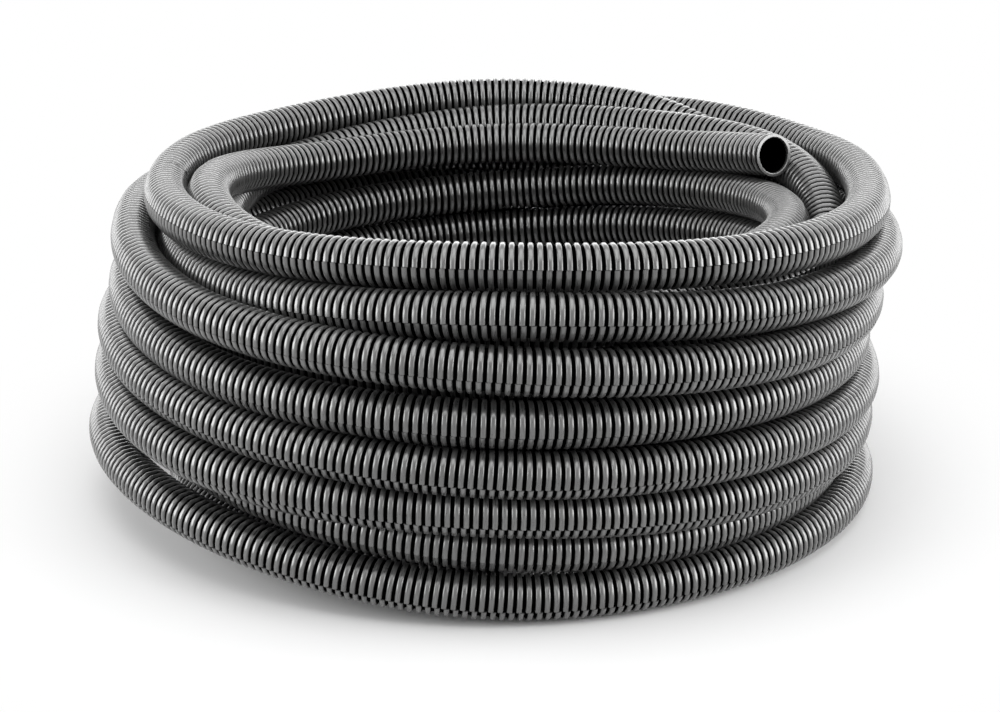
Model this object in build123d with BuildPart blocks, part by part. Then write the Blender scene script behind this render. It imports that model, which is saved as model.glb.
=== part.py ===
from build123d import *
import math
import os

os.makedirs("parts", exist_ok=True)

# A coil of corrugated conduit, lying flat. Millimetres, +Z up.
# The origin is on the floor, on the axis of the coil.
# The front of the coil faces -Y.

# The stock: one ring of the corrugation is a flat crest, a flank,
# a narrow root and a flank, and the wall follows it inside.
conduit_od = 25.0
bore_share = 0.8
wall = 0.6
ring_pitch = 4.6
crest_width = 2.5
flank_run = 0.4

# The coil: three layers of turns, each lying in the grooves of the last.
widest_turn_radius = 218.0
turn_squeeze = 0.4
turn_sides = 8
outer_set_in_shares = (0.0, 0.45, 0.2, 0.15, 0.35, 0.35, 0.65, 0.7)
middle_set_in_shares = (1.08, 1.2, 1.14, 1.12, 1.24, 1.36, 1.54)
inner_set_in_shares = (2.0, 2.04, 2.1, 2.2, 2.36, 2.5)

# The free end: the last turn lies on the inner layer, and its end leaves
# it in one wider bend, which leans up, to a straight cut tip.
seat_clearance = 0.8
end_set_in_share = 2.5
start_azimuth = -30.0
leave_azimuth = 85.0
end_bend_share = 1.06
end_bend_angle = 57.0
end_lean_angle = 4.5
tip_rings = 5
end_sides = 8
full_turn = 360.0

crest_radius = conduit_od / 2
root_bore_radius = crest_radius * bore_share
root_radius = root_bore_radius + wall
crest_bore_radius = crest_radius - wall
turn_step = conduit_od - turn_squeeze
half_side = full_turn / turn_sides / 2


def stacked(set_in_shares):
    """Centres of a column of turns, each resting on the one below it.

    The radius of each turn is the widest one less its share of a
    diameter, and its height is where it touches the turn below.
    """
    centres = []
    for share in set_in_shares:
        radius = widest_turn_radius - share * conduit_od
        height = crest_radius
        if centres:
            below_radius, below_height = centres[-1]
            rise = math.sqrt(turn_step**2 - (radius - below_radius) ** 2)
            height = below_height + rise
        centres.append((radius, height))
    return centres


def between(column, set_in_shares):
    """Centres of the turns that lie in the grooves inside a column.

    Each is half way up between two turns of the column, and as far in
    from the widest turn as its own share of a diameter.
    """
    centres = []
    for share, low, high in zip(set_in_shares, column[:-1], column[1:]):
        radius = widest_turn_radius - share * conduit_od
        centres.append((radius, (low[1] + high[1]) / 2))
    return centres


outer_layer = stacked(outer_set_in_shares)
middle_layer = between(outer_layer, middle_set_in_shares)
inner_layer = between(middle_layer, inner_set_in_shares)

# The last turn rests on the top turn of the inner layer.
tip_length = tip_rings * ring_pitch
seat_radius, seat_height = inner_layer[-1]
side_radius, side_height = middle_layer[-1]
end_turn_radius = widest_turn_radius - end_set_in_share * conduit_od
rest_gap = conduit_od + seat_clearance
rest_rise = math.sqrt(rest_gap**2 - (end_turn_radius - seat_radius) ** 2)
end_turn_height = seat_height + rest_rise
last_turn_arc = full_turn - (leave_azimuth - start_azimuth)


def radial_plane(azimuth):
    """Upright plane through the coil's axis, facing clockwise."""
    angle = math.radians(azimuth)
    outward = (math.cos(angle), math.sin(angle), 0)
    clockwise = (math.sin(angle), -math.cos(angle), 0)
    return Plane(origin=(0, 0, 0), x_dir=outward, z_dir=clockwise)


# The wound turns, as one turned solid with its bore. Its section is the
# round of each turn, with the core behind them filled in. The last turn
# lies on the inner layer, as far as where the free end leaves it.
with BuildPart() as conduit_coil:
    with BuildSketch(Plane.XZ) as section:
        for turn_radius, turn_height in outer_layer + middle_layer + inner_layer:
            with Locations((turn_radius, turn_height)):
                RegularPolygon(crest_radius, turn_sides, major_radius=False, rotation=half_side)
        with BuildLine():
            Polyline(
                *outer_layer,
                middle_layer[-1],
                *reversed(inner_layer),
                middle_layer[0],
                close=True,
            )
        make_face()
    revolve(axis=Axis.Z)
    with BuildSketch(radial_plane(leave_azimuth)):
        with Locations((end_turn_radius, end_turn_height)):
            RegularPolygon(crest_radius, turn_sides, major_radius=False, rotation=half_side)
        with BuildLine():
            Polyline(
                (end_turn_radius, end_turn_height),
                (seat_radius, seat_height),
                (side_radius, side_height),
                close=True,
            )
        make_face()
    revolve(axis=Axis.Z, revolution_arc=last_turn_arc)

conduit_coil.part.label = "conduit_coil"
export_step(conduit_coil.part, "parts/conduit_coil.step")

# The free end starts face to face with the last turn. Its bend turns
# about an axis that leans, so that it comes inward and up together.
leave_plane = radial_plane(leave_azimuth)
lean = math.radians(end_lean_angle)
bend = math.radians(end_bend_angle)
end_bend_radius = end_bend_share * end_turn_radius
inward_and_up = leave_plane.y_dir * math.sin(lean) - leave_plane.x_dir * math.cos(lean)
start_plane = Plane(
    origin=leave_plane.from_local_coords((end_turn_radius, end_turn_height, 0)),
    x_dir=inward_and_up,
    z_dir=leave_plane.z_dir,
)
bend_centre = start_plane.from_local_coords((end_bend_radius, 0, 0))
bend_axis = Axis(bend_centre, start_plane.y_dir)
tip_plane = Plane(
    origin=start_plane.from_local_coords(
        (end_bend_radius * (1 - math.cos(bend)), 0, end_bend_radius * math.sin(bend))
    ),
    x_dir=start_plane.y_dir,
    z_dir=start_plane.z_dir * math.cos(bend) + start_plane.x_dir * math.sin(bend),
)
half_root = (ring_pitch - crest_width) / 2 - flank_run


def wave(low_radius, high_radius, inset):
    """Points of one side of the wall, from the straight tip's foot up.

    Each ring is a flank up from the root, a crest and a flank down. The
    inset narrows the crest from both ends, as the wall does inside.
    """
    points = [(low_radius, 0)]
    for ring in range(tip_rings):
        foot = ring * ring_pitch + half_root + inset
        top = (ring + 1) * ring_pitch - half_root - inset
        points += [
            (low_radius, foot),
            (high_radius, foot + flank_run),
            (high_radius, top - flank_run),
            (low_radius, top),
        ]
    points.append((low_radius, tip_length))
    return points


# The cut tip, turned about its own centre line with its true wall.
with BuildPart() as ringed_tube:
    with BuildSketch(Plane.XZ):
        with BuildLine():
            Polyline(
                *wave(root_radius, crest_radius, 0),
                *reversed(wave(root_bore_radius, crest_bore_radius, wall / 2)),
                close=True,
            )
        make_face()
    revolve(axis=Axis.Z)

with BuildPart() as conduit_tip:
    with Locations(tip_plane.location):
        add(ringed_tube.part)

conduit_tip.part.label = "conduit_tip"
export_step(conduit_tip.part, "parts/conduit_tip.step")

# The bend before it, as a plain tube that meets the tip face to face.
with BuildPart() as conduit_end:
    with BuildSketch(start_plane):
        RegularPolygon(crest_radius, end_sides)
        RegularPolygon(
            root_bore_radius, end_sides, major_radius=False, mode=Mode.SUBTRACT
        )
    revolve(axis=bend_axis, revolution_arc=end_bend_angle)

conduit_end.part.label = "conduit_end"
export_step(conduit_end.part, "parts/conduit_end.step")

for name, layer in (("outer", outer_layer), ("middle", middle_layer), ("inner", inner_layer)):
    print(name, [(round(r, 2), round(z, 2)) for r, z in layer])
print("end turn", round(end_turn_radius, 4), round(end_turn_height, 4))
middle = tip_plane.origin + tip_plane.z_dir * (tip_length / 2)
print("tip middle", middle, "axis", tip_plane.z_dir, "length", tip_length)
print("mouth", tip_plane.origin + tip_plane.z_dir * tip_length)
for part in (conduit_coil.part, conduit_end.part, conduit_tip.part):
    solids = [(round(s.volume), s.is_valid) for s in part.solids()]
    print(part.label, solids, part.bounding_box())
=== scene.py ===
"""Looks of a coil of corrugated conduit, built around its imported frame.

One length of split conduit is wound in three layers of turns: down the
inside, up the middle and down the outside. Its centre line is one smooth
spline, and its ringed wall is carried along that line as a surface of two
parameters. Sizes are in metres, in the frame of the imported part.
"""

import logging
import math
from dataclasses import dataclass
from enum import Enum

import bpy
import numpy as np
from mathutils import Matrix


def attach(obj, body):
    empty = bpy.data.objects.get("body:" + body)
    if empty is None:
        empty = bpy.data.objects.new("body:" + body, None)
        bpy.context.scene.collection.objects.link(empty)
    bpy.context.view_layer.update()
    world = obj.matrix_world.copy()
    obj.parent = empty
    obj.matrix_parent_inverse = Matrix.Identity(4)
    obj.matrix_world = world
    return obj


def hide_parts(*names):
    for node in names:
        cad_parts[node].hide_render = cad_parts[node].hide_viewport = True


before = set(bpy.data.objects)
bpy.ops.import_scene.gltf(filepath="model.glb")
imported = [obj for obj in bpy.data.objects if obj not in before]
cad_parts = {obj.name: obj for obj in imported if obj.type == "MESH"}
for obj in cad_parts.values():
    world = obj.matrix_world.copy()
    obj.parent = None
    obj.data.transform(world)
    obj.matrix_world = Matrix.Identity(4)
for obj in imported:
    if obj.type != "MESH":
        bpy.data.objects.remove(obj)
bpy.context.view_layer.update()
LOG = logging.getLogger("conduit_coil")

MM = 0.001
STEPS_PER_TURN = 24
STEP = 2 * math.pi / STEPS_PER_TURN
STATIONS_PER_TURN = 8
# A spline of order three runs inside its points by this share.
SPLINE_SHARE = 0.75 + 0.25 * math.cos(STEP)
SPLINE_DETAIL = 14
# Height in millimetres of the centre line of a turn that lies on the floor.
LOWEST = 12.5
# The hidden turns settle in this many rounds. Each round takes away these
# shares of an overlap and of a bend.
SETTLE_ROUNDS = 400
PUSH_SHARE = 0.6
SMOOTH_SHARE = 0.2
# Places beyond the conduit's two ends wait this far away and apart, in metres.
OUT_OF_THE_WAY = 10.0
# Added to a distance and to a sum of shares, so that neither is zero.
TINY_DISTANCE = 1e-9
TINY_SHARE = 1e-6
# Stations nearer than this, in turns, are one, and so are points in metres.
SAME_STATION = 1e-6
SAME_POINT = 1e-7


class Layer(Enum):
    """The three layers of turns, from the inside out."""

    INNER = "inner"
    MIDDLE = "middle"
    OUTER = "outer"


@dataclass(frozen=True)
class Conduit:
    """The stock: a split tube whose wall is a wave of flat-topped rings.

    Attributes:
        outside: Outside diameter, over the rings.
        bore: Diameter that is free inside.
        wall: Thickness of the wall.
        pitch: Distance from one ring to the next.
        crest: Width of the flat top of a ring.
        shoulder: Length of the rounded edge on either side of the top.
        shoulder_fall: How far the surface falls over the rounded edge.
        flank: Length of the steep side below it.
        slit: Width of the slit that runs along the tube.
    """

    outside: float = 25.0 * MM
    bore: float = 20.0 * MM
    wall: float = 0.6 * MM
    pitch: float = 4.6 * MM
    crest: float = 1.5 * MM
    shoulder: float = 0.5 * MM
    shoulder_fall: float = 0.34 * MM
    flank: float = 0.38 * MM
    slit: float = 0.3 * MM

    @property
    def crest_radius(self) -> float:
        """Outside radius on a ring."""
        return self.outside / 2

    @property
    def root_radius(self) -> float:
        """Outside radius between two rings."""
        return self.bore / 2 + self.wall

    def ring(self, coarse: bool = False) -> tuple[np.ndarray, np.ndarray]:
        """One ring's section, from the middle of a crest to the next one's.

        It runs crest, rounded shoulder, steep flank and narrow root, and
        back up.

        Args:
            coarse: Whether the shoulder's inner edge is left out.

        Returns:
            Distances along the tube from the crest's middle, and the
            outside radius at each.
        """
        edge = self.crest / 2
        near = edge + np.array([0, self.shoulder, self.shoulder + self.flank])
        crest = self.crest_radius
        fall = np.array([crest, crest - self.shoulder_fall, self.root_radius])
        near, fall = near[coarse:], fall[coarse:]
        return (
            np.concatenate([near, self.pitch - near[::-1]]),
            np.concatenate([fall, fall[::-1]]),
        )


@dataclass(frozen=True)
class Station:
    """A place that the conduit passes, seen from above the coil's middle.

    Attributes:
        turn: Turns wound so far, where 0 points right, 0.25 to the back,
            0.5 left and 0.75 to the front.
        reach: Distance of the centre line from the coil's middle.
        height: Height of the centre line above the floor.
        held: Whether the photograph shows the place, so that it stays put
            while the hidden turns settle round it.
    """

    turn: float
    reach: float
    height: float
    held: bool = True


def turn_stations(
    first: float,
    reaches: tuple[float, ...],
    heights: tuple[float, ...],
    held: bool = True,
) -> list[Station]:
    """Stations an eighth of a turn apart, in millimetres.

    Args:
        first: Turns wound at the first station.
        reaches: Distances from the coil's middle.
        heights: Heights above the floor.
        held: Whether the stations stay put.

    Returns:
        The stations, in order.
    """
    return [
        Station(first + number / STATIONS_PER_TURN, reach * MM, height * MM, held)
        for number, (reach, height) in enumerate(zip(reaches, heights))
    ]


def step_stations(
    first: float, rows: tuple[tuple[float, float, float], ...]
) -> list[Station]:
    """Stations that the photograph shows, at steps of the turn.

    Args:
        first: Turns wound at step 0.
        rows: Each station's step, its distance from the coil's middle and
            its height above the floor, both in millimetres.

    Returns:
        The stations, in order.
    """
    return [
        Station(first + step / STEPS_PER_TURN, reach * MM, height * MM)
        for step, reach, height in rows
    ]


@dataclass(frozen=True)
class Winding:
    """The whole length of conduit, as it lies in the coil.

    Attributes:
        centre_x: How far the coil's middle lies to the right of the origin.
        inner_turns: Turns of the inner layer.
        middle_turns: Turns of the middle layer.
        shown_turns: Turns of the inner layer that the photograph shows.
        layer_step: Height of one turn in a hidden layer, before it settles.
    """

    centre_x: float = 5 * MM
    inner_turns: int = 6
    middle_turns: int = 6
    shown_turns: int = 3
    layer_step: float = 26.2 * MM

    def inner(self) -> list[Station]:
        """The free end and the inner layer, wound down."""
        free_end = (
            (1, 165.5, 185.5),
            (2, 158.5, 178),
            (3, 150.5, 172.3),
            (4, 146, 169.8),
            (6, 143.5, 167.9),
            (8, 146, 165.7),
            (9, 151, 165.3),
            (10, 157, 169),
        )
        stations = step_stations(0, free_end)
        stations += turn_stations(0.5, (164.5, 169, 169, 164), (180, 174.5, 169, 165))
        for number in range(1, self.inner_turns):
            drop = (number - 1) * self.layer_step / MM
            heights = (162, 149, 136.5, 132.5, 132.5, 135, 137.5, 136)
            reaches = (164, 153, 145.5, 150, 159, 164, 165, 163)
            stations += turn_stations(
                number,
                reaches,
                tuple(max(height - drop, LOWEST) for height in heights),
                number < self.shown_turns,
            )
        return stations

    def middle(self, start: int) -> list[Station]:
        """The middle layer, wound up and hidden but for its last turn.

        Args:
            start: Whole turns wound before it.

        Returns:
            The stations, in order.
        """
        stations = []
        for number in range(self.middle_turns, 0, -1):
            drop = number * self.layer_step / MM
            heights = (165, 170, 174, 165, 160, 162, 164, 168)
            reaches = (183.5, 178, 172, 174, 180, 184, 186, 185)
            stations += turn_stations(
                start + self.middle_turns - number,
                reaches,
                tuple(max(height - drop, LOWEST) for height in heights),
                False,
            )
        last = start + self.middle_turns
        shown = (
            (0, 187, 160),
            (1, 187, 171.5),
            (2, 184, 177),
            (3, 174.5, 178),
            (4, 167.5, 177.3),
            (6, 168, 174.4),
            (8, 168, 167.4),
            (9, 171, 163),
            (10, 174.5, 159.5),
        )
        stations += step_stations(last, shown)
        stations += turn_stations(
            last + 0.5, (177, 179, 184, 188), (157, 152, 154, 154), False
        )
        stations += turn_stations(last + 1, (191, 192), (152, 168), False)
        return stations

    def outer(self, start: int) -> list[Station]:
        """The outer layer, wound down, with each turn's front as it shows.

        Args:
            start: Whole turns wound before it.

        Returns:
            The stations, in order.
        """
        # The top turn at the back, then its right side and the front left of
        # the turn below it.
        top = (
            (4, 192, 182.5),
            (5, 191, 185.5),
            (6, 190, 187.2),
            (7, 189.5, 185.2),
            (8, 189, 182.2),
            (9, 188.8, 180.6),
            (10, 190, 181.4),
            (11, 192, 181.6),
        )
        right = ((1, 214.5, 177), (2, 216, 174.5), (4, 215, 176.5))
        second_left = ((14, 186, 156.5), (16, 195.5, 161.5), (17, 201.5, 165.5))
        # Reaches and heights of each turn's front, from the left to the right.
        fronts = (
            ((190.5, 187, 191, 205, 210), (180, 182, 188.7, 182.5, 176)),
            ((182.5, 190, 207.5, 212, 217.5), (156.5, 158, 168.5, 156, 151)),
            ((208.5, 213, 217.5, 216, 205.5), (160, 149.5, 143.3, 131, 126)),
            ((211, 214, 214, 208, 200), (132.5, 120, 113.5, 106, 101)),
            ((218.5, 220, 218, 212, 207), (109.5, 97.5, 88, 80.5, 75.5)),
            ((221, 224, 212.5, 209, 204), (83, 72.5, 64.8, 54.5, 54)),
            ((202.5, 202.5, 200, 193.5, 192), (64.5, 55.5, 40.2, 34, 34)),
            ((229, 214.5, 201.5, 201, 208), (42, 31, 13.5, LOWEST, LOWEST)),
        )
        stations = step_stations(start, top)
        stations += step_stations(start + 1, second_left + right)
        for number, (reaches, heights) in enumerate(fronts):
            stations += turn_stations(start + 0.5 + number, reaches, heights)
            # The back doesn't show. That of the top turn lies further out, and
            # the others run evenly to the front of the next turn.
            if number == 0:
                back = ((215.5, 215, 200), (174, 169, 162))
            else:
                following = fronts[min(number + 1, len(fronts) - 1)]
                ends = (reaches[-1], following[0][0]), (heights[-1], following[1][0])
                if number == len(fronts) - 1:
                    ends = (reaches[-1], 203), (LOWEST, LOWEST)
                back = tuple(
                    tuple(low + (high - low) * share for share in (0.25, 0.5, 0.75))
                    for low, high in ends
                )
            stations += turn_stations(start + 1.125 + number, *back, False)
        stations += turn_stations(
            start + 0.5 + len(fronts), (203, 184, 172), (LOWEST, LOWEST, LOWEST), False
        )
        return stations

    def stations(self) -> dict[Layer, list[Station]]:
        """The stations of each layer, in the order in which they are wound."""
        start = self.inner_turns
        return {
            Layer.INNER: self.inner(),
            Layer.MIDDLE: self.middle(start),
            Layer.OUTER: self.outer(start + self.middle_turns + 1),
        }


def through(at: np.ndarray, knots: np.ndarray, values: np.ndarray) -> np.ndarray:
    """A smooth curve through values: a cubic between each two neighbours.

    Each cubic starts and ends with the mean slope of its neighbours.

    Args:
        at: Where the curve is read.
        knots: Where the values are.
        values: The values, one row for each knot.

    Returns:
        The curve at each place.
    """
    slopes = np.gradient(values, knots, axis=0)
    low = np.clip(np.searchsorted(knots, at, side="right") - 1, 0, len(knots) - 2)
    span = (knots[low + 1] - knots[low])[:, None]
    share = (at - knots[low])[:, None] / span
    rest = 1 - share
    return (
        rest**2 * (1 + 2 * share) * values[low]
        + share**2 * (1 + 2 * rest) * values[low + 1]
        + rest**2 * share * span * slopes[low]
        - share**2 * rest * span * slopes[low + 1]
    )


def settle(places: np.ndarray, held: np.ndarray, first: int, size: float) -> np.ndarray:
    """Pushes turns that cut into each other apart until each has its room.

    The places of one direction from the coil's middle stand in a column.
    Two of them nearer than the tube's size move apart along the line that
    joins them, and what moved is smoothed along the tube.

    Args:
        places: Reach and height of each step along the tube.
        held: How far each step is held, from 0 to 1.
        first: Steps from the right to the first place.
        size: Outside diameter of the tube.

    Returns:
        The settled places.
    """
    turns = -(-(first + len(places)) // STEPS_PER_TURN)
    spots = np.zeros((turns * STEPS_PER_TURN, 2))
    spots[:, 1] = OUT_OF_THE_WAY + OUT_OF_THE_WAY * np.arange(len(spots))
    used = slice(first, first + len(places))
    spots[used] = places
    free = np.ones(len(spots))
    free[used] = 1 - held
    free = free.reshape(turns, STEPS_PER_TURN)
    share = free[:, None] / (free[:, None] + free[None] + TINY_SHARE)
    itself = np.eye(turns, dtype=bool)[:, :, None]
    for _ in range(SETTLE_ROUNDS):
        grid = spots.reshape(turns, STEPS_PER_TURN, 2)
        apart = grid[:, None] - grid[None]
        distance = np.sqrt((apart**2).sum(-1)) + TINY_DISTANCE
        overlap = np.where(itself, 0, np.clip(size - distance, 0, None))
        move = (apart * (overlap * share / distance)[..., None]).sum(1) * PUSH_SHARE
        spots = (grid + move).reshape(-1, 2)
        line = spots[used]
        bend = line[:-2] + line[2:] - 2 * line[1:-1]
        line[1:-1] += bend * (SMOOTH_SHARE * free.reshape(-1)[used][1:-1, None])
        line[:, 1] = np.maximum(line[:, 1], size / 2)
        spots[used] = line
    return spots[used]


@dataclass
class Route:
    """The centre line of the whole conduit.

    Attributes:
        winding: How the conduit lies.
        conduit: The stock.
        places: Reach and height of each step along the line.
        points: Points of the line.
        along: Each point's distance along it.
        turned: Turns wound at each point.
    """

    winding: Winding
    conduit: Conduit

    def __post_init__(self) -> None:
        """Lays the line as one smooth spline and reads its points back."""
        layers = self.winding.stations()
        every = [station for stations in layers.values() for station in stations]
        knots = np.array([station.turn for station in every])
        order = np.argsort(knots, kind="stable")
        knots = knots[order]
        kept = np.concatenate([[True], np.diff(knots) > SAME_STATION])
        rows = [[spot.reach, spot.height, float(spot.held)] for spot in every]
        values = np.array(rows)[order][kept]
        knots = knots[kept]
        first = round(knots[0] * STEPS_PER_TURN)
        steps = np.arange(first, round(knots[-1] * STEPS_PER_TURN) + 1)
        placed = through(steps / STEPS_PER_TURN, knots, values[:, :2])
        held = np.interp(steps / STEPS_PER_TURN, knots, values[:, 2])
        self.places = settle(placed, held, first, self.conduit.outside)
        angle = steps * STEP
        reach = self.places[:, 0] / SPLINE_SHARE
        points = np.column_stack(
            [
                reach * np.cos(angle) + self.winding.centre_x,
                reach * np.sin(angle),
                self.places[:, 1],
            ]
        )
        self.points = spline_points(points)
        steps_along = np.linalg.norm(np.diff(self.points, axis=0), axis=1)
        self.along = np.concatenate([[0], np.cumsum(steps_along)])
        turned = np.unwrap(
            np.arctan2(self.points[:, 1], self.points[:, 0] - self.winding.centre_x)
        ) / (2 * math.pi)
        self.turned = turned - turned[0] + steps[0] / STEPS_PER_TURN

    @property
    def length(self) -> float:
        """Length of the whole conduit."""
        return float(self.along[-1])

    def distance_at(self, turn: float) -> float:
        """Distance along the conduit at which so many turns are wound."""
        return float(np.interp(turn, self.turned, self.along))

    def at(self, distance: np.ndarray) -> np.ndarray:
        """Points of the line at distances along it."""
        found = [np.interp(distance, self.along, line) for line in self.points.T]
        return np.stack(found, -1)

    def frames(self) -> tuple[np.ndarray, np.ndarray]:
        """Directions across the line: away from the coil's middle, and up.

        Returns:
            The outward and the upward direction at each point of the line,
            both square to it.
        """
        tangent = np.gradient(self.points, self.along, axis=0)
        tangent /= np.linalg.norm(tangent, axis=1)[:, None]
        radial = self.points - [self.winding.centre_x, 0, 0]
        radial[:, 2] = 0
        outward = radial - tangent * (radial * tangent).sum(1)[:, None]
        outward /= np.linalg.norm(outward, axis=1)[:, None]
        return outward, np.cross(outward, tangent)


def spline_points(points: np.ndarray) -> np.ndarray:
    """Points along a smooth spline of order three.

    Args:
        points: The spline's control points.

    Returns:
        Points of the spline, close together.
    """
    curve = bpy.data.curves.new("centre_line", "CURVE")
    curve.dimensions = "3D"
    spline = curve.splines.new("NURBS")
    spline.points.add(len(points) - 1)
    weighted = np.column_stack([points, np.ones(len(points))])
    spline.points.foreach_set("co", weighted.ravel())
    spline.order_u = 3
    spline.use_endpoint_u = True
    spline.resolution_u = SPLINE_DETAIL
    holder = bpy.data.objects.new("centre_line", curve)
    line = bpy.data.meshes.new_from_object(holder)
    found = np.zeros(len(line.vertices) * 3)
    line.vertices.foreach_get("co", found)
    bpy.data.objects.remove(holder)
    bpy.data.meshes.remove(line)
    bpy.data.curves.remove(curve)
    found = found.reshape(-1, 3)
    apart = np.linalg.norm(np.diff(found, axis=0), axis=1) > SAME_POINT
    return found[np.concatenate([[True], apart])]


def grid_mesh(
    name: str,
    grid: np.ndarray,
    attributes: dict[str, np.ndarray],
    sharp: tuple[int, ...] = (),
) -> bpy.types.Object:
    """A smooth mesh of four-sided faces over a grid of points.

    Args:
        name: Name of the piece.
        grid: Points, as rows by columns by three.
        attributes: Values for each point, by name.
        sharp: Columns along which the mesh has a sharp edge.

    Returns:
        The object, with its place in its mesh.
    """
    rows, columns = grid.shape[:2]
    corner = (np.arange(rows - 1)[:, None] * columns + np.arange(columns - 1)).ravel()
    faces = corner[:, None] + [0, 1, columns + 1, columns]
    mesh = bpy.data.meshes.new(name)
    mesh.vertices.add(rows * columns)
    mesh.vertices.foreach_set("co", grid.astype(np.float32).ravel())
    mesh.loops.add(faces.size)
    mesh.loops.foreach_set("vertex_index", faces.ravel().astype(np.int32))
    mesh.polygons.add(len(faces))
    mesh.polygons.foreach_set("loop_start", np.arange(0, faces.size, 4, dtype=np.int32))
    mesh.update(calc_edges=True)
    mesh.shade_smooth()
    for key, values in attributes.items():
        layer = mesh.attributes.new(key, "FLOAT", "POINT")
        layer.data.foreach_set("value", values.astype(np.float32).ravel())
    if sharp:
        ends = np.zeros(len(mesh.edges) * 2, dtype=np.int32)
        mesh.edges.foreach_get("vertices", ends)
        column = ends.reshape(-1, 2) % columns
        crisp = (column[:, 0] == column[:, 1]) & np.isin(column[:, 0], sharp)
        layer = mesh.attributes.new("sharp_edge", "BOOLEAN", "EDGE")
        layer.data.foreach_set("value", crisp)
    piece = bpy.data.objects.new(name, mesh)
    bpy.context.scene.collection.objects.link(piece)
    return piece


@dataclass
class Skin:
    """The ringed wall of the conduit, carried along its route.

    Attributes:
        route: The centre line.
        conduit: The stock.
        columns: Faces round the tube.
        coarse_columns: Faces round it where it lies deep in the coil.
        crowding: How far the columns crowd on the side that shows.
        slip: How far one lip has slipped along the other, at the most.
        slip_wave: Swings of the slip, in radians for each metre.
        lip_depth: How deep the cut faces of the slit are modelled.
        mouth_columns: Faces round the inside of a cut end.
        mouth_first: Row of a ring at which the inside of a cut end starts.
        rim: Section of the cut rim, as millimetres ahead of the cut and
            within the crest.
        rim_shade: How far the inside stays clear of the rings' outside.
        slit_first: Degrees of the slit above the outward side at first.
        slit_last: Degrees at which it ends.
        slit_turns: Turns in which the difference falls to a third.
        outward: Direction away from the coil's middle at each point.
        upward: Direction up at each point, square to the line as well.
    """

    route: Route
    conduit: Conduit
    columns: int = 15
    coarse_columns: int = 10
    crowding: float = 0.35
    slip: float = 2.1 * MM
    slip_wave: float = 1.7
    lip_depth: float = 0.8 * MM
    mouth_columns: int = 32
    mouth_first: int = 4
    rim: tuple[tuple[float, float], ...] = (
        (0.0, 0.0),
        (0.5, 0.12),
        (0.9, 0.45),
        (1.05, 0.9),
        (0.9, 1.4),
        (0.4, 1.8),
        (-0.4, 2.0),
    )
    rim_shade: float = 0.2 * MM
    slit_first: float = 15.0
    slit_last: float = -20.0
    slit_turns: float = 1.6

    def __post_init__(self) -> None:
        """Reads the directions across the line once."""
        self.outward, self.upward = self.route.frames()

    def slit_angle(self, distance: np.ndarray, start_turn: float) -> np.ndarray:
        """Angle of the slit above the outward side, which sinks turn by turn.

        It sinks fast at first: the difference from its last angle falls by
        the same share in each turn.

        Args:
            distance: Distances along the conduit.
            start_turn: Turns wound where the slit has its first angle.

        Returns:
            The angles.
        """
        turns = np.interp(distance, self.route.along, self.route.turned) - start_turn
        left = np.exp(-np.maximum(turns, 0) / self.slit_turns)
        return np.radians(self.slit_last + (self.slit_first - self.slit_last) * left)

    def surface(
        self, distance: np.ndarray, angle: np.ndarray, radius: np.ndarray
    ) -> np.ndarray:
        """Points at a distance along, an angle round and a radius.

        The point is the line's own point, plus the radius times the sum of
        the outward direction by the angle's cosine and the upward one by
        its sine.

        Args:
            distance: Distances along the conduit.
            angle: Angles from the outward side, upwards.
            radius: Distances from the line.

        Returns:
            The points, with one more axis than the distances.
        """
        along = self.route.along
        outwards, upwards = radius * np.cos(angle), radius * np.sin(angle)
        places = [
            np.interp(distance, along, line)
            + outwards * np.interp(distance, along, outward)
            + upwards * np.interp(distance, along, upward)
            for line, outward, upward in zip(
                self.route.points.T, self.outward.T, self.upward.T
            )
        ]
        return np.stack(places, -1)

    def ringed(
        self,
        name: str,
        start: float,
        end: float,
        start_turn: float,
        fine_side: float,
        coarse: bool = False,
    ) -> bpy.types.Object:
        """A stretch with every ring modelled, open along its slit.

        Round the tube the columns run from one lip of the slit to the
        other and crowd on the side that shows. The tube was bent after it
        was split, so one lip has slipped along the other: each point is
        moved along by the slip times how far round it is. The slip swings
        along the tube and grows with the square of the distance.

        Args:
            name: Name of the piece.
            start: Distance along the conduit at which it starts.
            end: Distance at which it ends.
            start_turn: Turns wound where the slit has its first angle.
            fine_side: Angle of the side that shows, above the outward side.
            coarse: Whether the piece lies so deep that it has fewer faces.

        Returns:
            The piece.
        """
        conduit = self.conduit
        distance, radius = (rows[:, None] for rows in self.rings(start, end, coarse))
        columns = self.coarse_columns if coarse else self.columns
        even = np.linspace(0, 2 * math.pi, columns + 1)
        side = math.radians(fine_side)
        crowd = self.crowding * (np.sin(even - side) - np.sin(-side))
        # Half of the slit, as an angle at the crest.
        half = conduit.slit / conduit.outside
        round_share = np.concatenate([[0], even / (2 * math.pi), [1]])
        crowded = np.concatenate([[0], even - crowd, [2 * math.pi]])
        turned = crowded * (1 - half / math.pi) + half
        lip = np.zeros(columns + 3)
        lip[[0, -1]] = self.lip_depth
        slip = self.slip * (distance / self.route.length) ** 2
        slipped = slip * np.sin(distance * self.slip_wave) * (round_share - 0.5)
        where = distance + slipped
        angle = self.slit_angle(distance, start_turn) + turned
        grid = self.surface(where, angle, radius - lip)
        # Depth below the crest, as a share of the rings' depth, with the slit's cut
        # faces sunk by the lip. It drives the painted shade in the grooves and the
        # slit.
        shade_depth = (conduit.crest_radius - radius + lip) / (
            conduit.crest_radius - conduit.root_radius
        )
        around = np.broadcast_to(turned * conduit.crest_radius, shade_depth.shape)
        attributes = {
            "shade_depth": np.clip(shade_depth, 0, 1),
            "along": np.broadcast_to(distance, shade_depth.shape),
            "around": around,
        }
        return grid_mesh(
            name,
            grid[:, ::-1],
            {key: values[:, ::-1] for key, values in attributes.items()},
            sharp=(1, columns + 1),
        )

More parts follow.
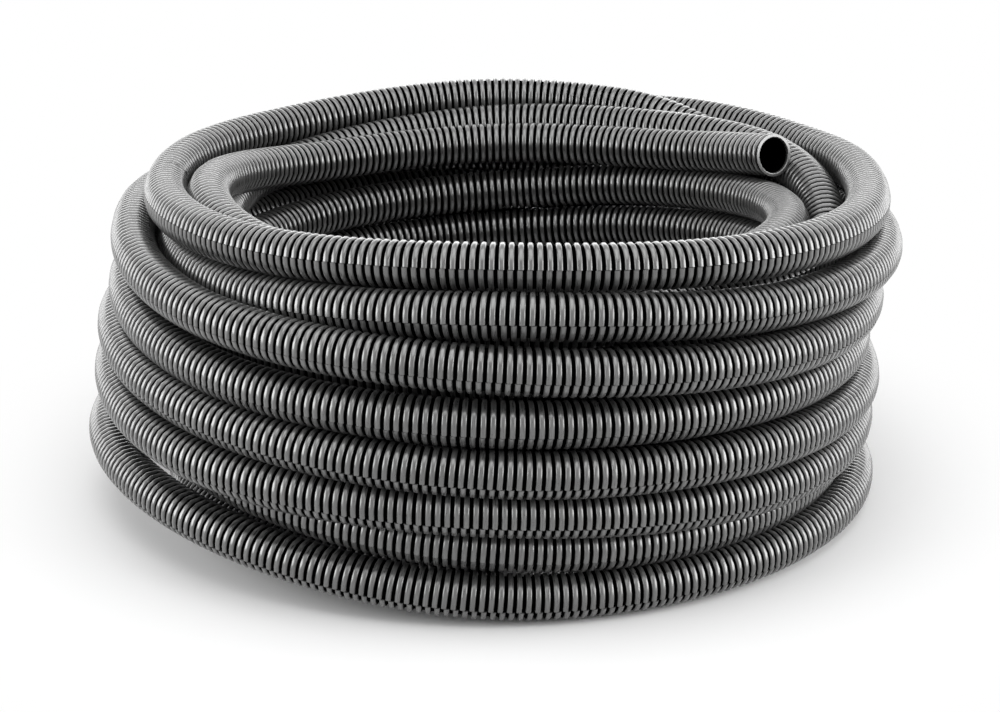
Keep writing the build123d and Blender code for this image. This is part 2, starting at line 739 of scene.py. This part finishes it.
    def rings(
        self, start: float, end: float, coarse: bool = False
    ) -> tuple[np.ndarray, np.ndarray]:
        """Rows of the rings between two crests.

        Args:
            start: Distance along the conduit of the first crest's middle.
            end: Distance of the last crest's middle.
            coarse: Whether each ring has fewer rows.

        Returns:
            The rows' distances along the conduit, and the outside radius
            at each.
        """
        conduit = self.conduit
        offsets, radii = conduit.ring(coarse)
        count = round((end - start) / conduit.pitch)
        ring = start + np.arange(count)[:, None] * conduit.pitch
        distance = np.concatenate([[start], (ring + offsets).ravel(), [end]])
        crest = [conduit.crest_radius]
        return distance, np.concatenate([crest, np.tile(radii, count), crest])

    def mouth(self, name: str, start: float, end: float) -> bpy.types.Object:
        """The cut end's rim and the inside of its wall.

        The cut is through the side of a ring, so that its rim closes from
        the crest to the bore with a rounded edge. Further in, the inside
        follows the rings, one wall thickness away, and is painted in full
        shade: near black and without shine, standing in for the shade
        inside the tube.

        Args:
            name: Name of the piece.
            start: Distance along the conduit of the cut.
            end: Distance at which the inside stops, out of sight, on
                either side of the cut.

        Returns:
            The piece.
        """
        conduit = self.conduit
        along, outside = self.rings(0, abs(end - start))
        way = math.copysign(1, end - start)
        ahead, within = (np.array(sizes) * MM for sizes in zip(*self.rim))
        first = self.mouth_first
        inside = np.minimum(outside[first:], conduit.crest_radius - self.rim_shade)
        distance = start + way * np.concatenate([-ahead, along[first:]])
        radius = np.concatenate([conduit.crest_radius - within, inside - conduit.wall])
        angle = np.linspace(0, way * 2 * math.pi, self.mouth_columns + 1)
        shape = (len(distance), len(angle))
        grid = self.surface(
            np.broadcast_to(distance[:, None], shape),
            np.broadcast_to(angle, shape),
            np.broadcast_to(radius[:, None], shape),
        )
        # Painted shade: past the rim the inside gets the full shade depth, which paints
        # it near black and shineless.
        shade_mask = np.arange(len(distance)) >= len(ahead)
        return grid_mesh(name, grid, {"shade_depth": np.broadcast_to(shade_mask[:, None], shape)})


def linear(hex_colour: str) -> tuple[float, float, float, float]:
    """An sRGB hex colour as linear red, green, blue and alpha.

    Args:
        hex_colour: Six hex digits.

    Returns:
        The linear colour, opaque.
    """
    parts = np.array([int(hex_colour[at : at + 2], 16) / 255 for at in (0, 2, 4)])
    low = parts / 12.92
    high = ((parts + 0.055) / 1.055) ** 2.4
    return (*np.where(parts <= 0.04045, low, high).tolist(), 1.0)


def add_node(
    tree: bpy.types.NodeTree,
    kind: str,
    settings: dict[str, object] | None = None,
    inputs: dict[str | int, object] | None = None,
    links: dict[str | int, bpy.types.NodeSocket] | None = None,
) -> bpy.types.Node:
    """Adds a node with its settings, input values and links.

    Args:
        tree: The node tree.
        kind: The node's type name.
        settings: Properties to set.
        inputs: Values of input sockets.
        links: Output sockets to link to input sockets.

    Returns:
        The node.
    """
    node = tree.nodes.new(kind)
    for key, value in (settings or {}).items():
        setattr(node, key, value)
    for key, value in (inputs or {}).items():
        node.inputs[key].default_value = value
    for key, socket in (links or {}).items():
        tree.links.new(socket, node.inputs[key])
    return node


@dataclass(frozen=True)
class BlackPolypropylene:
    """Extruded and moulded polypropylene, black with carbon.

    To the eye it is a dark grey with a bright satin shine on its rings. The
    shine is drawn out into fine streaks that run round the tube, as the
    moulding blocks leave them. The grooves are painted near black and lose
    their shine: painted shade, standing in for the shade that falls in
    them, in the slit and inside the cut ends. A film of fine dust lies
    along the streaks and lightens it in patches. Real grain and streaks
    are finer. They are drawn as coarse as they need to be to show.

    Attributes:
        body: Colour of the rings.
        groove_shade: Painted shade between the rings: the near black that
        stands in for the shade falling in the grooves.
        dust: Colour of the dust.
        dust_least: Share of the dust's colour where it lies thinnest.
        dust_most: Share where it lies thickest.
        roughness: Roughness of the rings, about which the streaks swing.
        smoother: How much less it is between the streaks.
        rougher: How much more it is on them.
        groove_roughness: Roughness between the rings.
        ior: Refraction of the plastic.
        shine: Level of its reflection on the rings, which fades out with
        the painted shade in the grooves.
        skin_ior: Refraction of the glossy skin on the rings, which fades
        out with the painted shade in the grooves.
        skin_roughness: Roughness of that skin.
        shade_from: Depth, as a share of the rings' full depth, at which the
            painted shade starts.
        shade_to: Depth at which the painted shade is at its darkest.
        patch: Size of a patch of dust.
        grain: Size of the surface's grain.
        grain_bump: Strength and height of the grain's relief.
        streak: Width of a streak.
        streak_length: Length of a streak, round the tube.
        streak_bump: Strength and height of the streaks' relief.
    """

    body: str = "393939"
    groove_shade: str = "020202"
    dust: str = "6c6c6a"
    dust_least: float = 0.1
    dust_most: float = 0.6
    roughness: float = 0.3
    smoother: float = 0.1
    rougher: float = 0.2
    groove_roughness: float = 0.9
    ior: float = 1.5
    shine: float = 0.5
    skin_ior: float = 1.8
    skin_roughness: float = 0.23
    shade_from: float = 0.18
    shade_to: float = 0.6
    patch: float = 38 * MM
    grain: float = 0.7 * MM
    grain_bump: tuple[float, float] = (0.15, 0.05 * MM)
    streak: float = 0.65 * MM
    streak_length: float = 7 * MM
    streak_bump: tuple[float, float] = (0.7, 0.1 * MM)

    def material(self) -> bpy.types.Material:
        """Builds the material on Object coordinates and the skin's own."""
        made = bpy.data.materials.new("black_polypropylene")
        made.use_nodes = True
        tree = made.node_tree
        tree.nodes.clear()
        place = add_node(tree, "ShaderNodeTexCoord").outputs["Object"]
        shade_depth, along, around = (
            add_node(
                tree, "ShaderNodeAttribute", {"attribute_name": name}
            ).outputs["Fac"]
            for name in ("shade_depth", "along", "around")
        )
        patches, grains = (
            add_node(
                tree,
                "ShaderNodeTexNoise",
                inputs={"Scale": 1 / size, "Detail": 4.0, "Roughness": 0.62},
                links={"Vector": place},
            ).outputs["Fac"]
            for size in (self.patch, self.grain)
        )
        skin = add_node(
            tree, "ShaderNodeCombineXYZ", links={"X": along, "Y": around}
        ).outputs["Vector"]
        drawn = add_node(
            tree,
            "ShaderNodeMapping",
            {"vector_type": "POINT"},
            {"Scale": (1 / self.streak, 1 / self.streak_length, 1.0)},
            {"Vector": skin},
        ).outputs["Vector"]
        streaks = add_node(
            tree,
            "ShaderNodeTexNoise",
            inputs={"Scale": 1.0, "Detail": 3.0, "Roughness": 0.6},
            links={"Vector": drawn},
        ).outputs["Fac"]
        dusty = add_node(
            tree,
            "ShaderNodeMapRange",
            inputs={
                "From Min": 0.35,
                "From Max": 0.7,
                "To Min": self.dust_least,
                "To Max": self.dust_most,
            },
            links={"Value": patches},
        ).outputs["Result"]
        drawn_dust = add_node(
            tree,
            "ShaderNodeMapRange",
            inputs={"From Min": 0.4, "From Max": 0.65},
            links={"Value": streaks},
        ).outputs["Result"]
        speckled = add_node(
            tree,
            "ShaderNodeMath",
            {"operation": "MULTIPLY"},
            links={0: dusty, 1: drawn_dust},
        ).outputs[0]
        # Painted shade: deeper down, the colour goes to near black and the shine and
        # glossy skin fade out, standing in for the shade in the grooves, the slit and
        # the cut ends' insides.
        shade_mask = add_node(
            tree,
            "ShaderNodeMapRange",
            {"interpolation_type": "SMOOTHSTEP"},
            {"From Min": self.shade_from, "From Max": self.shade_to},
            {"Value": shade_depth},
        ).outputs["Result"]
        raised = add_node(
            tree, "ShaderNodeMath", {"operation": "SUBTRACT"}, {0: 1.0}, {1: shade_mask}
        ).outputs[0]
        dusted = add_node(
            tree,
            "ShaderNodeMix",
            {"data_type": "RGBA"},
            {"A": linear(self.body), "B": linear(self.dust)},
            {"Factor": speckled},
        ).outputs["Result"]
        # Painted shade: the near black groove colour is mixed in by the shade mask.
        colour = add_node(
            tree,
            "ShaderNodeMix",
            {"data_type": "RGBA"},
            {"B": linear(self.groove_shade)},
            {"Factor": shade_mask, "A": dusted},
        ).outputs["Result"]
        rough = add_node(
            tree,
            "ShaderNodeMapRange",
            inputs={
                "From Min": 0.3,
                "From Max": 0.7,
                "To Min": self.roughness - self.smoother,
                "To Max": self.roughness + self.rougher,
            },
            links={"Value": streaks},
        ).outputs["Result"]
        rough = add_node(
            tree,
            "ShaderNodeMix",
            {"data_type": "FLOAT"},
            {"B": self.groove_roughness},
            {"Factor": shade_mask, "A": rough},
        ).outputs["Result"]
        fine = add_node(
            tree,
            "ShaderNodeBump",
            inputs=dict(zip(("Strength", "Distance"), self.grain_bump)),
            links={"Height": grains},
        ).outputs["Normal"]
        bump = add_node(
            tree,
            "ShaderNodeBump",
            inputs=dict(zip(("Strength", "Distance"), self.streak_bump)),
            links={"Height": streaks, "Normal": fine},
        ).outputs["Normal"]
        shine = add_node(
            tree,
            "ShaderNodeMath",
            {"operation": "MULTIPLY"},
            {1: self.shine},
            {0: raised},
        ).outputs[0]
        shader = add_node(
            tree,
            "ShaderNodeBsdfPrincipled",
            inputs={
                "IOR": self.ior,
                "Metallic": 0.0,
                "Coat IOR": self.skin_ior,
                "Coat Roughness": self.skin_roughness,
            },
            links={
                "Base Color": colour,
                "Roughness": rough,
                "Normal": bump,
                "Specular IOR Level": shine,
                "Coat Weight": raised,
                "Coat Normal": bump,
            },
        )
        add_node(
            tree,
            "ShaderNodeOutputMaterial",
            links={"Surface": shader.outputs["BSDF"]},
        )
        return made


@dataclass
class Coil:
    """The coil: its conduit as pieces short enough to store.

    Attributes:
        winding: How the conduit lies.
        conduit: The stock.
        free_end: Turns wound at the open cut end.
        upper_end: Turns at which the upper inner piece ends.
        top_lead: How much before its last turn the middle layer shows.
        outer_lead: Turns from the end of the middle layer to the first
            outer piece.
        piece_turns: Turns of an outer piece.
        mouth_rings: Rings whose inside is modelled at a cut end.
        outer_side: Degrees above the outward side of the outer pieces'
            side that shows.
        inner_side: The same for the pieces inside.
    """

    winding: Winding
    conduit: Conduit
    free_end: float = 1 / STEPS_PER_TURN
    upper_end: float = 3.2
    top_lead: float = 0.1
    outer_lead: float = 1.5
    piece_turns: float = 2.45
    mouth_rings: int = 33
    outer_side: float = 25.0
    inner_side: float = 120.0

    def build(self, finish: bpy.types.Material) -> list[bpy.types.Object]:
        """Builds and dresses every piece, and hides the imported parts that they stand
        in for.

        Args:
            finish: The conduit's material.

        Returns:
            The pieces.
        """
        route = Route(self.winding, self.conduit)
        closest = route.places[:, 0].min()
        LOG.info("conduit of %.2f m, tightest reach %.3f", route.length, closest)
        skin = Skin(route, self.conduit)
        inner_end = float(self.winding.inner_turns)
        middle_end = inner_end + self.winding.middle_turns
        outer_start = middle_end + self.outer_lead
        names = ["inner_turns_upper", "inner_turns_lower", "middle_turns", "top_turn"]
        cuts = [self.free_end, self.upper_end, inner_end, middle_end - self.top_lead]
        outer = ("outer_turns_1", "outer_turns_2", "outer_turns_3", "outer_turns_4")
        names += outer
        cuts += [outer_start + self.piece_turns * at for at in range(len(outer))]
        cuts.append(route.turned[-1])
        pieces = []
        for name, low, high in zip(names, cuts[:-1], cuts[1:]):
            start, end = (
                route.distance_at(turn) // self.conduit.pitch * self.conduit.pitch
                for turn in (low, high)
            )
            side = self.outer_side if name in outer else self.inner_side
            hidden = name == "middle_turns"
            piece = skin.ringed(name, start, end, outer_start, side, hidden)
            pieces.append(piece)
            self.declare(free=name == "inner_turns_upper")
        deep = self.mouth_rings * self.conduit.pitch
        mouth = skin.mouth("cut_end", 0.0, deep)
        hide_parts("conduit_end", "conduit_tip")
        pieces.append(mouth)
        mouth = skin.mouth("outer_cut_end", end, end - deep)
        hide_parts("conduit_coil")
        pieces.append(mouth)
        for piece in pieces:
            piece.data.materials.append(finish)
            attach(piece, "root")
        return pieces

    def declare(
        self,
        free: bool,
    ) -> None:
        """Hides the imported parts that a piece stands in for: the coil, and also the
        tip and the end for the piece that starts at the cut end.

        Args:
            free: Whether its start is the conduit's cut end.
        """
        nodes = ("conduit_coil",)
        if free:
            nodes = ("conduit_tip", "conduit_end", *nodes)
        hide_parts(*nodes)


@dataclass(frozen=True)
class SoftBox:
    """A soft rectangular lamp.

    Attributes:
        name: Name of the lamp.
        place: Where its middle is, in metres.
        turn: Degrees by which it turns from facing down, about each axis.
        size: Width and depth of its face.
        power: Power in watts.
    """

    name: str
    place: tuple[float, float, float]
    turn: tuple[float, float, float]
    size: tuple[float, float]
    power: float

    def build(self) -> None:
        """Adds the lamp to the scene."""
        lamp = bpy.data.lights.new(self.name, "AREA")
        lamp.shape = "RECTANGLE"
        lamp.size, lamp.size_y = self.size
        lamp.energy = self.power
        holder = bpy.data.objects.new(self.name, lamp)
        holder.location = self.place
        holder.rotation_euler = [math.radians(angle) for angle in self.turn]
        bpy.context.scene.collection.objects.link(holder)


@dataclass(frozen=True)
class Studio:
    """A white sweep between four soft boxes, and the camera.

    Attributes:
        picture_width: Width of the picture, in pixels.
        focal_pixels: Distance of the picture from the lens, in pixels.
        sensor: Width of the sensor, in millimetres.
        camera_back: How far the camera stands in front of the coil's middle.
        camera_height: Its height above the floor.
        camera_pitch: Degrees by which it looks down.
        floor_half: Half of the floor's side.
        floor_white: How white the floor is to the light that it throws back.
        floor_seen: How white it looks near the coil.
        white_from: Distance from the middle at which it starts to turn pure
            white.
        white_to: Distance at which it is pure white.
        world_light: Strength of the light from all around.
    """

    picture_width: float = 1000.0
    focal_pixels: float = 2441.0
    sensor: float = 36.0
    camera_back: float = 1352.9 * MM
    camera_height: float = 543.2 * MM
    camera_pitch: float = 19.07
    floor_half: float = 6.0
    floor_white: float = 0.88
    floor_seen: float = 0.92
    white_from: float = 0.2
    white_to: float = 0.38
    world_light: float = 0.16

    def build(self, centre_x: float) -> None:
        """Builds the floor, the lights, the white around and the camera.

        Args:
            centre_x: Where the coil's middle is, which the camera faces.
        """
        self.floor()
        self.lights()
        self.surroundings()
        lens = bpy.data.cameras.new("camera")
        lens.sensor_width = self.sensor
        lens.lens = self.focal_pixels / self.picture_width * self.sensor
        lens.clip_start = 0.05
        camera = bpy.data.objects.new("camera", lens)
        camera.location = (centre_x, -self.camera_back, self.camera_height)
        camera.rotation_euler = (math.radians(90 - self.camera_pitch), 0, 0)
        bpy.context.scene.collection.objects.link(camera)
        bpy.context.scene.camera = camera

    def floor(self) -> None:
        """Builds the floor, which shows white but keeps the shadow."""
        edges = np.linspace(-self.floor_half, self.floor_half, 2)
        across, along = np.meshgrid(edges, edges)
        flat = np.zeros_like(along)
        sheet = grid_mesh("floor", np.stack([across, along, flat], -1), {})
        made = bpy.data.materials.new("white_paper")
        made.use_nodes = True
        tree = made.node_tree
        tree.nodes.clear()
        paper, seen_paper = (
            add_node(
                tree,
                "ShaderNodeBsdfDiffuse",
                inputs={"Color": (white, white, white, 1.0)},
            )
            for white in (self.floor_white, self.floor_seen)
        )
        path = add_node(tree, "ShaderNodeLightPath")
        seen = add_node(
            tree,
            "ShaderNodeMath",
            {"operation": "MAXIMUM"},
            links={0: path.outputs["Is Camera Ray"], 1: path.outputs["Is Glossy Ray"]},
        ).outputs[0]
        place = add_node(tree, "ShaderNodeTexCoord").outputs["Object"]
        reach = add_node(
            tree, "ShaderNodeVectorMath", {"operation": "LENGTH"}, links={0: place}
        ).outputs["Value"]
        far = add_node(
            tree,
            "ShaderNodeMapRange",
            {"interpolation_type": "SMOOTHSTEP"},
            {"From Min": self.white_from, "From Max": self.white_to},
            {"Value": reach},
        ).outputs["Result"]
        white = add_node(tree, "ShaderNodeEmission", inputs={"Strength": 1.0})
        sweep = add_node(
            tree,
            "ShaderNodeMixShader",
            links={0: far, 1: seen_paper.outputs["BSDF"], 2: white.outputs["Emission"]},
        ).outputs[0]
        mixed = add_node(
            tree,
            "ShaderNodeMixShader",
            links={0: seen, 1: paper.outputs["BSDF"], 2: sweep},
        ).outputs[0]
        add_node(tree, "ShaderNodeOutputMaterial", links={"Surface": mixed})
        sheet.data.materials.append(made)

    def lights(self) -> None:
        """Builds the soft boxes: overhead, low at both sides, and behind."""
        for box in (
            SoftBox("overhead", (0.0, -0.4, 1.5), (0.0, 0.0, 0.0), (1.6, 1.4), 15.0),
            SoftBox("right", (1.4, -0.4, 0.5), (0.0, 80.0, 0.0), (0.9, 1.6), 24.0),
            SoftBox("left", (-1.4, -0.4, 0.5), (0.0, -80.0, 0.0), (0.9, 1.6), 24.0),
            SoftBox("back", (0.0, 2.1, 0.85), (-90.0, 0.0, 0.0), (4.5, 1.5), 30.0),
        ):
            box.build()

    def surroundings(self) -> None:
        """Makes the world white, to the eye and in reflections."""
        world = bpy.data.worlds.new("white")
        world.use_nodes = True
        tree = world.node_tree
        tree.nodes.clear()
        path = add_node(tree, "ShaderNodeLightPath")
        shown = add_node(
            tree,
            "ShaderNodeMath",
            {"operation": "MAXIMUM"},
            links={
                0: path.outputs["Is Camera Ray"],
                1: path.outputs["Is Transmission Ray"],
            },
        ).outputs[0]
        shown = add_node(
            tree,
            "ShaderNodeMath",
            {"operation": "MAXIMUM"},
            links={0: shown, 1: path.outputs["Is Glossy Ray"]},
        ).outputs[0]
        strength = add_node(
            tree,
            "ShaderNodeMapRange",
            inputs={"To Min": self.world_light, "To Max": 1.0},
            links={"Value": shown},
        ).outputs["Result"]
        around = add_node(
            tree,
            "ShaderNodeBackground",
            inputs={"Color": (1.0, 1.0, 1.0, 1.0)},
            links={"Strength": strength},
        ).outputs["Background"]
        add_node(tree, "ShaderNodeOutputWorld", links={"Surface": around})
        bpy.context.scene.world = world


def main() -> None:
    """Builds the coil and its studio."""
    logging.basicConfig(level=logging.INFO, format="%(name)s: %(message)s")
    winding = Winding()
    coil = Coil(winding, Conduit())
    for piece in coil.build(BlackPolypropylene().material()):
        LOG.info("%s has %d faces", piece.name, len(piece.data.polygons))
    Studio().build(winding.centre_x)
    bpy.context.scene.view_settings.view_transform = "Standard"


if __name__ == "__main__":
    main()
